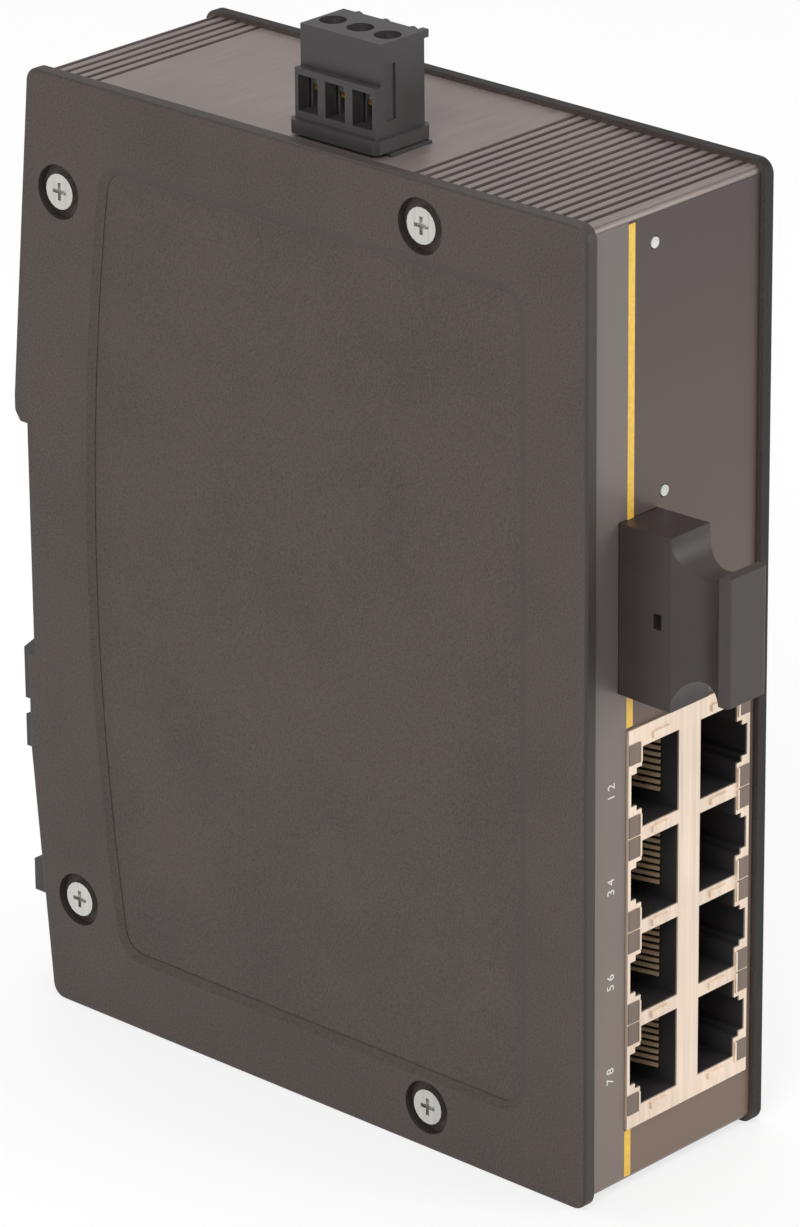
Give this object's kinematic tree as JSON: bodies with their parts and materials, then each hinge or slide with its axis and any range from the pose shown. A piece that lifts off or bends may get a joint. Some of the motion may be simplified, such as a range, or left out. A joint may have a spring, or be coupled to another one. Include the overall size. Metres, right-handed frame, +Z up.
{
  "type": "din rail ethernet switch",
  "caption": "Industrial ethernet switch that clips to a DIN rail, with copper sockets, a capped fibre port and a screw-terminal power plug.",
  "frame": {"origin": "middle of the rail seat, on the plane that the rail flanges touch", "axes": "+Y away from the housing through the rail, +Z up along the front, +X to the right seen from the front"},
  "size_m": [0.038, 0.1304, 0.1577],
  "materials": {
    "cover": "fine textured paint",
    "frame": "smooth dark paint",
    "foil": "printed foil",
    "shield": "bright plated sheet",
    "insulator": "moulded",
    "gold": "gold plated",
    "zinc": "zinc plated",
    "steel": "plain",
    "black_plastic": "moulded",
    "board": "solder resist",
    "ceramic": "ceramic",
    "clear": "clear moulded",
    "component": "moulded",
    "can": "sleeved can"
  },
  "bodies": {
    "housing": {"board_screws": "zinc", "bracket_screws": "zinc", "clock_crystal": "steel", "fibre_dust_cap": "black_plastic", "fibre_ferrules": "ceramic", "fibre_transceiver": "black_plastic", "front_foil": "foil", "header_pins": "gold", "housing_frame": "frame", "indicator_leds": "clear", "input_fuse": "ceramic", "isolation_transformers": "component", "latch_spring": "steel", "left_cover": "cover", "left_cover_screws": "zinc", "light_pipes": "clear", "main_board": "board", "memory_chip": "component", "plug_contacts": "gold", "power_header": "black_plastic", "power_inductor": "component", "power_plug": "black_plastic", "rail_bracket": "black_plastic", "regulator_chip": "component", "right_cover": "cover", "right_cover_screws": "zinc", "rj45_contacts": "gold", "rj45_insulator": "insulator", "rj45_shield": "shield", "smoothing_capacitors": "can", "surge_diode": "component", "switch_chip": "component"},
    "latch": {"rail_latch": "black_plastic"},
    "screw_1": {"terminal_screw_1": "steel"},
    "cage_1": {"clamp_cage_1": "steel"},
    "screw_2": {"terminal_screw_2": "steel"},
    "cage_2": {"clamp_cage_2": "steel"},
    "screw_3": {"terminal_screw_3": "steel"},
    "cage_3": {"clamp_cage_3": "steel"}
  },
  "joints": [
    {"name": "latch_slide", "type": "slide", "parent": "housing", "child": "latch", "axis": [0, 0, -1], "range_m": [0, 0.0022], "stiffness_N_per_m": 1500, "springref_m": -0.003, "deforming": ["latch_spring"]},
    {"name": "terminal_screw_1_turn", "type": "hinge", "parent": "housing", "child": "screw_1", "pos_m": [-0.0092, -0.0619, 0.083], "axis": [0, 0, -1], "range_deg": [0, 1620]},
    {"name": "clamp_cage_1_rise", "type": "slide", "parent": "housing", "child": "cage_1", "axis": [0, 0, 1], "range_m": [0, 0.00225]},
    {"name": "terminal_screw_2_turn", "type": "hinge", "parent": "housing", "child": "screw_2", "pos_m": [-0.0092, -0.0569, 0.083], "axis": [0, 0, -1], "range_deg": [0, 1620]},
    {"name": "clamp_cage_2_rise", "type": "slide", "parent": "housing", "child": "cage_2", "axis": [0, 0, 1], "range_m": [0, 0.00225]},
    {"name": "terminal_screw_3_turn", "type": "hinge", "parent": "housing", "child": "screw_3", "pos_m": [-0.0092, -0.0519, 0.083], "axis": [0, 0, -1], "range_deg": [0, 1620]},
    {"name": "clamp_cage_3_rise", "type": "slide", "parent": "housing", "child": "cage_3", "axis": [0, 0, 1], "range_m": [0, 0.00225]}
  ],
  "couplings": [
    {"joint": "terminal_screw_1_turn", "follows": "clamp_cage_1_rise", "rad_per_m": 12566},
    {"joint": "terminal_screw_2_turn", "follows": "clamp_cage_2_rise", "rad_per_m": 12566},
    {"joint": "terminal_screw_3_turn", "follows": "clamp_cage_3_rise", "rad_per_m": 12566}
  ]
}
